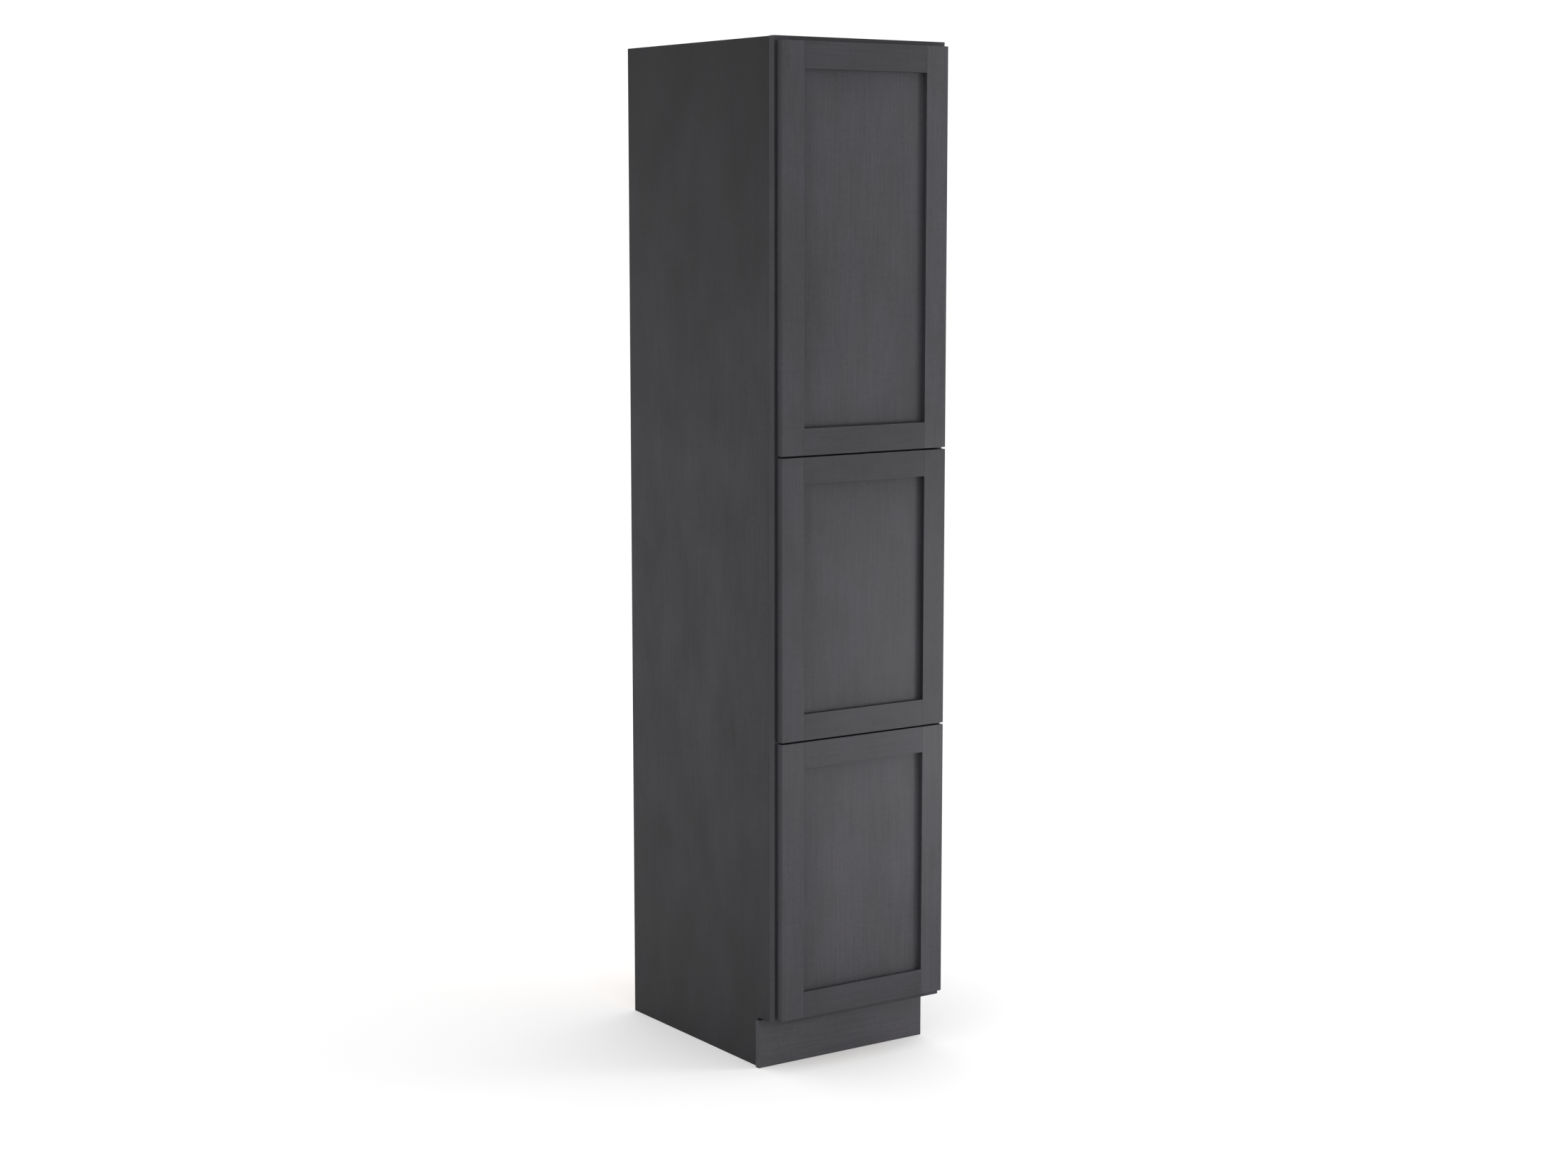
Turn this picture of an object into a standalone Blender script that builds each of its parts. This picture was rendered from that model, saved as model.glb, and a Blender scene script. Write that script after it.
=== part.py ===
"""Tall pantry cabinet: a plywood box with a face frame and three stacked flat-panel doors.

Metres, +Z up. The front faces -Y and +X is to the right of someone who looks at the front.
The origin is on the floor, in the middle of the cabinet's width and of its whole depth.
Each door is hung on concealed cup hinges: a steel arm on the face frame, a cranked link, and
a cup sunk in the door. The link turns about a pin in the arm, and the door about a pin in the cup.
"""

import math

import bmesh
import bpy
from mathutils import Matrix, Vector

# Cabinet
CABINET_WIDTH = 0.4572
CABINET_DEPTH = 0.6096
CABINET_HEIGHT = 2.286
TOE_HEIGHT = 0.1143
TOE_RECESS = 0.0635
TOE_BOARD_HEIGHT = 0.110
SIDE_INSET = 0.00635
PLYWOOD = 0.0119
DADO_DEPTH = 0.006
TOP_PANEL_DROP = 0.0127
BACK_THICKNESS = 0.0062
NAILER_HEIGHT = 0.0889

# Face frame
FRAME_THICKNESS = 0.01905
FRAME_STILE_WIDTH = 0.0381
FRAME_RAIL_WIDTH = 0.0381

# Adjustable shelves
SHELF_THICKNESS = 0.0159
SHELF_SIDE_CLEARANCE = 0.0016
SHELF_SETBACK = 0.025
PIN_HOLE_DIAMETER = 0.005
PIN_HOLE_DEPTH = 0.009
PIN_HOLE_PITCH = 0.032
PIN_HOLE_EDGE = 0.037
PIN_HOLES_EACH_WAY = 1
UPPER_BAY_SHELVES = 2
MIDDLE_BAY_SHELVES = 1
LOWER_BAY_SHELVES = 1

# Doors
DOOR_THICKNESS = 0.01905
DOOR_GAP = 0.002
DOOR_SPACING = 0.004
TOP_REVEAL = 0.0103
BOTTOM_REVEAL = 0.0139
LOWER_DOOR_HEIGHT = 0.6263
MIDDLE_DOOR_HEIGHT = 0.6263
DOOR_STILE_WIDTH = 0.0585
DOOR_RAIL_WIDTH = 0.0587
DOOR_BACK_LIP = 0.0029
DOOR_PANEL_THICKNESS = 0.0062
GROOVE_DEPTH = 0.0095
PANEL_FLOAT = 0.0015
BUMPER_DIAMETER = 0.0095
BUMPER_EDGE = 0.014

# Hinges
HINGE_OVERLAY = 0.0322
HINGE_END_DISTANCE = 0.095
CUP_DIAMETER = 0.035
CUP_DEPTH = 0.0125
CUP_EDGE_DISTANCE = 0.005
CUP_WALL = 0.001
CUP_FLANGE_THICKNESS = 0.0007
CUP_FLANGE_EAR = 0.0085
CUP_FLANGE_FREE_RIM = 0.002
CUP_FLANGE_EDGE_RIM = 0.0003
HINGE_PIN_DIAMETER = 0.003
EYE_WALL = 0.0012
EYE_CLEARANCE = 0.0002
LINK_THICKNESS = 0.003
LINK_HALF_HEIGHT = 0.006
EAR_THICKNESS = 0.002
ARM_LENGTH = 0.034
ARM_BODY_WIDTH = 0.0125
BRACKET_THICKNESS = 0.002
BRACKET_HALF_HEIGHT = 0.021
# The cup pin lies in from the door's hinge edge and its back face. The arm pin is in line with
# the frame stile's inner edge, and the link is cranked at its elbow.
CUP_PIN_FROM_EDGE = 0.0137
CUP_PIN_FROM_BACK = 0.00305
ARM_PIN_IN_FRONT = 0.0056
ELBOW_FROM_STILE = 0.0104
ELBOW_IN_FRONT = 0.0102

# Making
GAP = 0.0003
OVERSHOOT = 0.001
ROUND_SIDES = 32
SMALL_ROUND_SIDES = 12
PIN_HOLE_SIDES = 8
SMOOTH_ANGLE = math.radians(30)

# Places that follow from the sizes
HALF_WIDTH = CABINET_WIDTH / 2
HALF_DEPTH = (CABINET_DEPTH + DOOR_GAP + DOOR_THICKNESS) / 2
DOOR_FRONT = -HALF_DEPTH
DOOR_BACK = DOOR_FRONT + DOOR_THICKNESS
FRAME_FRONT = DOOR_BACK + DOOR_GAP
FRAME_BACK = FRAME_FRONT + FRAME_THICKNESS
BOX_FRONT = FRAME_BACK + GAP
NAILER_FRONT = HALF_DEPTH - PLYWOOD
BACK_PANEL_BACK = NAILER_FRONT - GAP
BACK_PANEL_FRONT = BACK_PANEL_BACK - BACK_THICKNESS
DECK_BACK = BACK_PANEL_FRONT - GAP
SIDE_OUTER = HALF_WIDTH - SIDE_INSET
SIDE_INNER = SIDE_OUTER - PLYWOOD
STILE_INNER = HALF_WIDTH - FRAME_STILE_WIDTH
DOOR_EDGE = STILE_INNER + HINGE_OVERLAY

LOWER_DOOR = (TOE_HEIGHT + BOTTOM_REVEAL, TOE_HEIGHT + BOTTOM_REVEAL + LOWER_DOOR_HEIGHT)
MIDDLE_DOOR = (LOWER_DOOR[1] + DOOR_SPACING, LOWER_DOOR[1] + DOOR_SPACING + MIDDLE_DOOR_HEIGHT)
UPPER_DOOR = (MIDDLE_DOOR[1] + DOOR_SPACING, CABINET_HEIGHT - TOP_REVEAL)
DOORS = {"upper_door": UPPER_DOOR, "middle_door": MIDDLE_DOOR, "lower_door": LOWER_DOOR}

LOWER_MID_RAIL = LOWER_DOOR[1] + (DOOR_SPACING - FRAME_RAIL_WIDTH) / 2
UPPER_MID_RAIL = MIDDLE_DOOR[1] + (DOOR_SPACING - FRAME_RAIL_WIDTH) / 2
TOP_PANEL_TOP = CABINET_HEIGHT - TOP_PANEL_DROP
# The top face of each fixed horizontal board, flush with the top edge of its rail.
DECK_TOPS = {
    "bottom_panel": TOE_HEIGHT + FRAME_RAIL_WIDTH,
    "lower_deck": LOWER_MID_RAIL + FRAME_RAIL_WIDTH,
    "upper_deck": UPPER_MID_RAIL + FRAME_RAIL_WIDTH,
    "top_panel": TOP_PANEL_TOP,
}
BACK_PANEL_BOTTOM = DECK_TOPS["bottom_panel"] - PLYWOOD

GROOVE_WIDTH = DOOR_PANEL_THICKNESS + 2 * GAP
GROOVE_BACK = DOOR_BACK - DOOR_BACK_LIP
GROOVE_FRONT = GROOVE_BACK - GROOVE_WIDTH

CUP_CENTRE_X = DOOR_EDGE - CUP_EDGE_DISTANCE - CUP_DIAMETER / 2
ARM_PIN = Vector((STILE_INNER, FRAME_FRONT - ARM_PIN_IN_FRONT, 0))
CUP_PIN = Vector((DOOR_EDGE - CUP_PIN_FROM_EDGE, DOOR_BACK - CUP_PIN_FROM_BACK, 0))
ELBOW = Vector((STILE_INNER + ELBOW_FROM_STILE, FRAME_FRONT - ELBOW_IN_FRONT, 0))
PIN_RADIUS = HINGE_PIN_DIAMETER / 2
EYE_HOLE_RADIUS = PIN_RADIUS + EYE_CLEARANCE
EYE_RADIUS = EYE_HOLE_RADIUS + EYE_WALL
SLOT_HALF_HEIGHT = LINK_HALF_HEIGHT + GAP
ARM_HALF_HEIGHT = SLOT_HALF_HEIGHT + EAR_THICKNESS

# (colour, roughness, metallic)
CHARCOAL_FINISH = ((0.075, 0.078, 0.082, 1), 0.45, 0.0)
MAPLE_INTERIOR = ((0.62, 0.45, 0.28, 1), 0.4, 0.0)
NICKEL_STEEL = ((0.62, 0.61, 0.59, 1), 0.28, 1.0)
CLEAR_RUBBER = ((0.72, 0.72, 0.70, 1), 0.5, 0.0)


def clear_scene():
    for obj in list(bpy.data.objects):
        bpy.data.objects.remove(obj, do_unlink=True)


# Meshes


def box_mesh(*boxes):
    """One mesh of closed boxes, each given by its low and its high corner."""
    bm = bmesh.new()
    for low, high in boxes:
        low, high = Vector(low), Vector(high)
        place = Matrix.LocRotScale((low + high) / 2, None, high - low)
        bmesh.ops.create_cube(bm, size=1, matrix=place)
    return finished_mesh(bm)


def prism_mesh(outline, bottom, top):
    """The outline, a list of (x, y), as a solid between two heights."""
    bm = bmesh.new()
    face = bm.faces.new([bm.verts.new((x, y, bottom)) for x, y in outline])
    raised = bmesh.ops.extrude_face_region(bm, geom=[face])["geom"]
    verts = [item for item in raised if isinstance(item, bmesh.types.BMVert)]
    bmesh.ops.translate(bm, vec=(0, 0, top - bottom), verts=verts)
    return finished_mesh(bm)


def rod_mesh(radius, start, end, sides):
    """A closed round rod between two points."""
    start, end = Vector(start), Vector(end)
    axis = end - start
    turn = Vector((0, 0, 1)).rotation_difference(axis).to_matrix().to_4x4()
    bm = bmesh.new()
    bmesh.ops.create_cone(
        bm,
        cap_ends=True,
        segments=sides,
        radius1=radius,
        radius2=radius,
        depth=axis.length,
        matrix=Matrix.Translation((start + end) / 2) @ turn,
    )
    return finished_mesh(bm)


def capsule_outline(start, end, radius):
    """A straight bar with round ends, seen from above."""
    along = math.atan2(end.y - start.y, end.x - start.x)
    half = SMALL_ROUND_SIDES // 2
    outline = []
    for centre, first in ((end, along - math.pi / 2), (start, along + math.pi / 2)):
        for step in range(half + 1):
            angle = first + math.pi * step / half
            outline.append((centre.x + radius * math.cos(angle), centre.y + radius * math.sin(angle)))
    return outline


def finished_mesh(bm):
    bmesh.ops.recalc_face_normals(bm, faces=bm.faces)
    mesh = bpy.data.meshes.new("shape")
    bm.to_mesh(mesh)
    bm.free()
    return mesh


def combined(mesh, operation, tool):
    """The mesh after one exact boolean with the tool mesh."""
    base = bpy.data.objects.new("base", mesh)
    other = bpy.data.objects.new("other", tool)
    for obj in (base, other):
        bpy.context.scene.collection.objects.link(obj)
    boolean = base.modifiers.new("boolean", "BOOLEAN")
    boolean.operation = operation
    boolean.solver = "EXACT"
    boolean.object = other
    bpy.context.view_layer.update()
    result = bpy.data.meshes.new_from_object(base.evaluated_get(bpy.context.evaluated_depsgraph_get()))
    for obj in (base, other):
        bpy.data.objects.remove(obj)
    for used in (mesh, tool):
        bpy.data.meshes.remove(used)
    return result


# Objects


def material(name, finish):
    colour, roughness, metallic = finish
    mat = bpy.data.materials.new(name)
    mat.use_nodes = True
    shader = mat.node_tree.nodes["Principled BSDF"]
    shader.inputs["Base Color"].default_value = colour
    shader.inputs["Roughness"].default_value = roughness
    shader.inputs["Metallic"].default_value = metallic
    return mat


def piece(name, mesh, finish, parent=None, place=(0, 0, 0)):
    """The object of one sub-part, whose mesh is given around the point that place names."""
    obj = bpy.data.objects.new(name, mesh)
    bpy.context.scene.collection.objects.link(obj)
    if not mesh.materials:
        mesh.materials.append(material(name + "_finish", finish))
    obj.location = Vector(place)
    if parent:
        obj.parent = parent
        obj.location -= world_place(parent)
    return obj


def world_place(obj):
    return obj.location + (world_place(obj.parent) if obj.parent else Vector())


def axis_empty(name, place, parent=None):
    """An empty that stands on a joint's axis. The pieces that turn about it are its children."""
    empty = bpy.data.objects.new(name, None)
    bpy.context.scene.collection.objects.link(empty)
    empty.location = Vector(place)
    if parent:
        empty.parent = parent
        empty.location -= world_place(parent)
    return empty


def board(name, low, high, finish, parent=None):
    """A plain rectangular board, with its origin at its middle."""
    middle = (Vector(low) + Vector(high)) / 2
    mesh = box_mesh((Vector(low) - middle, Vector(high) - middle))
    return piece(name, mesh, finish, parent, middle)


def shade_round(mesh):
    mesh.shade_smooth()
    mesh.set_sharp_from_angle(angle=SMOOTH_ANGLE)


# The box


def bays():
    """The clear height of each shelf bay, with the number of adjustable shelves in it."""
    return {
        "lower": (DECK_TOPS["bottom_panel"], DECK_TOPS["lower_deck"] - PLYWOOD, LOWER_BAY_SHELVES),
        "middle": (DECK_TOPS["lower_deck"], DECK_TOPS["upper_deck"] - PLYWOOD, MIDDLE_BAY_SHELVES),
        "upper": (DECK_TOPS["upper_deck"], DECK_TOPS["top_panel"] - PLYWOOD, UPPER_BAY_SHELVES),
    }


def shelf_heights():
    """The underside of each adjustable shelf, which share their bay evenly."""
    heights = {}
    for bay, (floor, ceiling, count) in bays().items():
        for number in range(1, count + 1):
            middle = floor + (ceiling - floor) * number / (count + 1)
            heights[f"{bay}_shelf_{number}"] = middle - SHELF_THICKNESS / 2
    return heights


def pin_hole_places():
    """(y, z) of the middle of each shelf pin hole in a side panel."""
    radius = PIN_HOLE_DIAMETER / 2
    steps = range(-PIN_HOLES_EACH_WAY, PIN_HOLES_EACH_WAY + 1)
    rows = (FRAME_BACK + PIN_HOLE_EDGE, DECK_BACK - PIN_HOLE_EDGE)
    return [
        (y, underside - radius - GAP + step * PIN_HOLE_PITCH)
        for y in rows
        for underside in shelf_heights().values()
        for step in steps
    ]


def side_panel(name, side):
    """A side of the box, on the left (-1) or the right (1), cut for the boards that it holds."""
    notch_back = FRAME_FRONT + TOE_RECESS + PLYWOOD + GAP
    outline = [
        (BOX_FRONT, TOE_HEIGHT),
        (BOX_FRONT, CABINET_HEIGHT),
        (HALF_DEPTH, CABINET_HEIGHT),
        (HALF_DEPTH, 0),
        (notch_back, 0),
        (notch_back, TOE_HEIGHT),
    ]
    mesh = prism_mesh(outline, 0, PLYWOOD)
    # The outline is drawn flat as (y, z), so x, y, z become y, z, x.
    mesh.transform(Matrix(((0, 0, 1, SIDE_INNER), (1, 0, 0, 0), (0, 1, 0, 0), (0, 0, 0, 1))))
    inside, depth = SIDE_INNER - OVERSHOOT, SIDE_INNER + DADO_DEPTH
    dadoes = [
        ((inside, BOX_FRONT - OVERSHOOT, top - PLYWOOD - GAP), (depth, BACK_PANEL_BACK, top + GAP))
        for top in DECK_TOPS.values()
    ]
    groove = (
        (inside, BACK_PANEL_FRONT - GAP, BACK_PANEL_BOTTOM - GAP),
        (depth, BACK_PANEL_BACK + GAP, CABINET_HEIGHT + OVERSHOOT),
    )
    mesh = combined(mesh, "DIFFERENCE", box_mesh(*dadoes))
    mesh = combined(mesh, "DIFFERENCE", box_mesh(groove))
    mesh = combined(mesh, "DIFFERENCE", pin_hole_tool())
    centre = Vector((SIDE_INNER + PLYWOOD / 2, (BOX_FRONT + HALF_DEPTH) / 2, CABINET_HEIGHT / 2))
    if side < 0:
        mesh.transform(Matrix.Scale(-1, 4, (1, 0, 0)))
        mesh.flip_normals()
        centre.x = -centre.x
    mesh.transform(Matrix.Translation(-centre))
    return piece(name, mesh, CHARCOAL_FINISH, place=centre)


def pin_hole_tool():
    """All the rods that cut the shelf pin holes of the right side panel, as one mesh."""
    bm = bmesh.new()
    for y, z in pin_hole_places():
        start = (SIDE_INNER - OVERSHOOT, y, z)
        rod = rod_mesh(PIN_HOLE_DIAMETER / 2, start, (SIDE_INNER + PIN_HOLE_DEPTH, y, z), PIN_HOLE_SIDES)
        bm.from_mesh(rod)
        bpy.data.meshes.remove(rod)
    return finished_mesh(bm)


def make_box():
    side_panel("side_panel_left", -1)
    side_panel("side_panel_right", 1)
    seat = SIDE_INNER + DADO_DEPTH - GAP
    for name, top in DECK_TOPS.items():
        board(name, (-seat, BOX_FRONT, top - PLYWOOD), (seat, DECK_BACK, top), MAPLE_INTERIOR)
    back_low = (-seat, BACK_PANEL_FRONT, BACK_PANEL_BOTTOM)
    board("back_panel", back_low, (seat, BACK_PANEL_BACK, CABINET_HEIGHT), MAPLE_INTERIOR)
    between = SIDE_INNER - GAP
    nailers = {"top_nailer": CABINET_HEIGHT - NAILER_HEIGHT, "bottom_nailer": BACK_PANEL_BOTTOM}
    for name, low in nailers.items():
        corner = (between, HALF_DEPTH, low + NAILER_HEIGHT)
        board(name, (-between, NAILER_FRONT, low), corner, MAPLE_INTERIOR)
    toe_front = FRAME_FRONT + TOE_RECESS
    toe_corner = (HALF_WIDTH, toe_front + PLYWOOD, TOE_BOARD_HEIGHT)
    board("toe_kick_board", (-HALF_WIDTH, toe_front, 0), toe_corner, CHARCOAL_FINISH)


def make_shelves():
    half = SIDE_INNER - SHELF_SIDE_CLEARANCE
    front, back = BOX_FRONT + SHELF_SETBACK, DECK_BACK - SHELF_SIDE_CLEARANCE
    for name, underside in shelf_heights().items():
        board(name, (-half, front, underside), (half, back, underside + SHELF_THICKNESS), MAPLE_INTERIOR)


def make_face_frame():
    for name, low, high in (
        ("face_frame_stile_left", -HALF_WIDTH, -STILE_INNER),
        ("face_frame_stile_right", STILE_INNER, HALF_WIDTH),
    ):
        board(name, (low, FRAME_FRONT, TOE_HEIGHT), (high, FRAME_BACK, CABINET_HEIGHT), CHARCOAL_FINISH)
    between = STILE_INNER - GAP
    for name, low in (
        ("face_frame_rail_top", CABINET_HEIGHT - FRAME_RAIL_WIDTH),
        ("face_frame_rail_upper_middle", UPPER_MID_RAIL),
        ("face_frame_rail_lower_middle", LOWER_MID_RAIL),
        ("face_frame_rail_bottom", TOE_HEIGHT),
    ):
        corner = (between, FRAME_BACK, low + FRAME_RAIL_WIDTH)
        board(name, (-between, FRAME_FRONT, low), corner, CHARCOAL_FINISH)


# Doors


def hinge_heights(door):
    bottom, top = DOORS[door]
    return {"bottom": bottom + HINGE_END_DISTANCE, "top": top - HINGE_END_DISTANCE}


def door_stile(door, side, parent):
    """An upright of a door, grooved along its inner edge and, on the hinge side, bored for the cups."""
    bottom, top = DOORS[door]
    inner = DOOR_EDGE - DOOR_STILE_WIDTH
    groove = inner + GROOVE_DEPTH
    outline = [
        (DOOR_EDGE, DOOR_FRONT),
        (DOOR_EDGE, DOOR_BACK),
        (inner, DOOR_BACK),
        (inner, GROOVE_BACK),
        (groove, GROOVE_BACK),
        (groove, GROOVE_FRONT),
        (inner, GROOVE_FRONT),
        (inner, DOOR_FRONT),
    ]
    mesh = prism_mesh([(side * x, y) for x, y in outline], bottom, top)
    if side > 0:
        for height in hinge_heights(door).values():
            start = (CUP_CENTRE_X, DOOR_BACK + OVERSHOOT, height)
            end = (CUP_CENTRE_X, DOOR_BACK - CUP_DEPTH, height)
            mesh = combined(mesh, "DIFFERENCE", rod_mesh(CUP_DIAMETER / 2, start, end, ROUND_SIDES))
    place = world_place(parent)
    mesh.transform(Matrix.Translation(-place))
    suffix = "right" if side > 0 else "left"
    return piece(f"{door}_stile_{suffix}", mesh, CHARCOAL_FINISH, parent, place)


def door_rail(name, low, high, groove_side, parent):
    """A crosspiece of a door with a stub tenon at each end, grooved above (1) or below (-1)."""
    inner = DOOR_EDGE - DOOR_STILE_WIDTH
    shoulder = inner - GAP
    tip = inner + GROOVE_DEPTH - GAP
    mesh = box_mesh(((-tip, DOOR_FRONT, low), (tip, DOOR_BACK, high)))
    cheeks = []
    for near, far in ((shoulder, tip + OVERSHOOT), (-tip - OVERSHOOT, -shoulder)):
        floor, ceiling = low - OVERSHOOT, high + OVERSHOOT
        cheeks.append(((near, DOOR_FRONT - OVERSHOOT, floor), (far, GROOVE_FRONT + GAP, ceiling)))
        cheeks.append(((near, GROOVE_BACK - GAP, floor), (far, DOOR_BACK + OVERSHOOT, ceiling)))
    edge = high if groove_side > 0 else low
    groove_low, groove_high = sorted((edge - groove_side * GROOVE_DEPTH, edge + groove_side * OVERSHOOT))
    reach = tip + OVERSHOOT
    groove = ((-reach, GROOVE_FRONT, groove_low), (reach, GROOVE_BACK, groove_high))
    mesh = combined(mesh, "DIFFERENCE", box_mesh(*cheeks))
    mesh = combined(mesh, "DIFFERENCE", box_mesh(groove))
    place = world_place(parent)
    mesh.transform(Matrix.Translation(-place))
    return piece(name, mesh, CHARCOAL_FINISH, parent, place)


def make_door(door, parent):
    bottom, top = DOORS[door]
    for side in (-1, 1):
        door_stile(door, side, parent)
    door_rail(f"{door}_rail_bottom", bottom, bottom + DOOR_RAIL_WIDTH, 1, parent)
    door_rail(f"{door}_rail_top", top - DOOR_RAIL_WIDTH, top, -1, parent)
    reach = GROOVE_DEPTH - PANEL_FLOAT
    half = DOOR_EDGE - DOOR_STILE_WIDTH + reach
    low = (-half, GROOVE_FRONT + GAP, bottom + DOOR_RAIL_WIDTH - reach)
    high = (half, GROOVE_BACK - GAP, top - DOOR_RAIL_WIDTH + reach)
    board(f"{door}_panel", low, high, CHARCOAL_FINISH, parent)
    for end, height in (("bottom", bottom + BUMPER_EDGE), ("top", top - BUMPER_EDGE)):
        start = Vector((BUMPER_EDGE - DOOR_EDGE, DOOR_BACK + GAP, height))
        thickness = Vector((0, DOOR_GAP - 2 * GAP, 0))
        mesh = rod_mesh(BUMPER_DIAMETER / 2, (0, 0, 0), thickness, SMALL_ROUND_SIDES)
        shade_round(mesh)
        piece(f"{door}_bumper_{end}", mesh, CLEAR_RUBBER, parent, start)


# Hinges, each drawn around its height on the link's axis


def hinge_pin(centre, half_length):
    ends = [centre + Vector((0, 0, sign * half_length)) for sign in (-1, 1)]
    return rod_mesh(PIN_RADIUS, *ends, SMALL_ROUND_SIDES)


def cup_mesh():
    """The cup in the door: a round well with a flange on the door's back, and the door's pin."""
    centre = Vector((CUP_CENTRE_X, 0, 0))
    bore = CUP_DIAMETER / 2
    outer, depth = bore - GAP, CUP_DEPTH - GAP
    inner = outer - CUP_WALL
    flange_back = DOOR_BACK + GAP + CUP_FLANGE_THICKNESS
    well_bottom = Vector((0, DOOR_BACK - depth, 0))
    mesh = rod_mesh(outer, centre + well_bottom, centre + Vector((0, flange_back, 0)), ROUND_SIDES)
    flange = (
        (CUP_CENTRE_X - bore - CUP_FLANGE_FREE_RIM, DOOR_BACK + GAP, -bore - CUP_FLANGE_EAR),
        (CUP_CENTRE_X + bore + CUP_FLANGE_EDGE_RIM, flange_back, bore + CUP_FLANGE_EAR),
    )
    mesh = combined(mesh, "UNION", box_mesh(flange))
    well_floor = centre + well_bottom + Vector((0, CUP_WALL, 0))
    mouth = centre + Vector((0, flange_back + OVERSHOOT, 0))
    mesh = combined(mesh, "DIFFERENCE", rod_mesh(inner, well_floor, mouth, ROUND_SIDES))
    pin_reach = CUP_PIN.x + PIN_RADIUS - CUP_CENTRE_X
    pin_half_length = math.sqrt((outer - GAP) ** 2 - pin_reach**2)
    return combined(mesh, "UNION", hinge_pin(CUP_PIN, pin_half_length))


def link_mesh():
    """The cranked link between the two pins, with an eye at each end."""
    half = LINK_THICKNESS / 2
    mesh = prism_mesh(capsule_outline(ARM_PIN, ELBOW, half), -LINK_HALF_HEIGHT, LINK_HALF_HEIGHT)
    bar = prism_mesh(capsule_outline(ELBOW, CUP_PIN, half), -LINK_HALF_HEIGHT, LINK_HALF_HEIGHT)
    mesh = combined(mesh, "UNION", bar)
    for pin in (ARM_PIN, CUP_PIN):
        ends = [pin + Vector((0, 0, sign * LINK_HALF_HEIGHT)) for sign in (-1, 1)]
        mesh = combined(mesh, "UNION", rod_mesh(EYE_RADIUS, *ends, ROUND_SIDES // 2))
    for pin in (ARM_PIN, CUP_PIN):
        reach = LINK_HALF_HEIGHT + OVERSHOOT
        ends = [pin + Vector((0, 0, sign * reach)) for sign in (-1, 1)]
        mesh = combined(mesh, "DIFFERENCE", rod_mesh(EYE_HOLE_RADIUS, *ends, ROUND_SIDES // 2))
    return mesh


def arm_mesh():
    """The arm on the frame: a bracket, a body, and a forked nose that holds the link's pin."""
    contact = STILE_INNER - GAP
    clear = FRAME_FRONT - 2 * GAP
    body_front = FRAME_FRONT + 2 * GAP
    nose_left = CUP_CENTRE_X - math.sqrt((CUP_DIAMETER / 2 - GAP - CUP_WALL) ** 2 - ARM_HALF_HEIGHT**2) + 3 * GAP
    nose = [
        (nose_left, body_front + PIN_RADIUS),
        (contact, body_front + PIN_RADIUS),
        (contact, clear),
        (ARM_PIN.x + PIN_RADIUS, clear),
        (ARM_PIN.x + EYE_RADIUS, ARM_PIN.y),
        (ARM_PIN.x, ARM_PIN.y - EYE_RADIUS),
        (nose_left, ARM_PIN.y - EYE_RADIUS / 2),
    ]
    mesh = prism_mesh(nose, -ARM_HALF_HEIGHT, ARM_HALF_HEIGHT)
    slot_back = ARM_PIN.y + EYE_RADIUS + GAP
    slot = (
        (nose_left - OVERSHOOT, ARM_PIN.y - 2 * EYE_RADIUS, -SLOT_HALF_HEIGHT),
        (ARM_PIN.x + 2 * EYE_RADIUS, slot_back, SLOT_HALF_HEIGHT),
    )
    mesh = combined(mesh, "DIFFERENCE", box_mesh(slot))
    body = (
        (contact - ARM_BODY_WIDTH, body_front, -ARM_HALF_HEIGHT),
        (contact, body_front + ARM_LENGTH, ARM_HALF_HEIGHT),
    )
    mesh = combined(mesh, "UNION", box_mesh(body))
    bracket = (
        (contact - BRACKET_THICKNESS, body_front + PIN_RADIUS, -BRACKET_HALF_HEIGHT),
        (contact, FRAME_BACK - PIN_RADIUS, BRACKET_HALF_HEIGHT),
    )
    mesh = combined(mesh, "UNION", box_mesh(bracket))
    return combined(mesh, "UNION", hinge_pin(ARM_PIN, ARM_HALF_HEIGHT - EAR_THICKNESS / 2))


def make_hinge_shapes():
    """The three hinge shapes, centred on the link's axis and shared by all the hinges."""
    shapes = {"arm": arm_mesh(), "link": link_mesh(), "cup": cup_mesh()}
    for name, mesh in shapes.items():
        mesh.transform(Matrix.Translation(-ARM_PIN))
        shade_round(mesh)
        mesh.materials.append(material(f"hinge_{name}_finish", NICKEL_STEEL))
    return shapes


def make_hinges(door, shapes, link_axis, door_axis):
    for end, height in hinge_heights(door).items():
        place = ARM_PIN + Vector((0, 0, height))
        for part, parent in (("arm", None), ("link", link_axis), ("cup", door_axis)):
            piece(f"{door}_hinge_{part}_{end}", shapes[part], NICKEL_STEEL, parent, place)


def main():
    clear_scene()
    make_box()
    make_shelves()
    make_face_frame()
    shapes = make_hinge_shapes()
    for door, (bottom, top) in DOORS.items():
        middle = Vector((0, 0, (bottom + top) / 2))
        link_axis = axis_empty(f"{door}_link_axis", ARM_PIN + middle)
        door_axis = axis_empty(f"{door}_axis", CUP_PIN + middle, link_axis)
        make_door(door, door_axis)
        make_hinges(door, shapes, link_axis, door_axis)


main()
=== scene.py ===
"""The looks of the tall pantry cabinet: stained wood, maple plywood, plated hinges, studio and camera.

Metres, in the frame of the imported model: +Z up, the doors face -Y, the origin is on the floor.
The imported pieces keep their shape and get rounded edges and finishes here. The small hardware
that they don't hold is added: shelf pins, screw heads and staples.
"""

import math
import random

import bmesh
import bpy
from mathutils import Matrix, Vector


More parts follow.
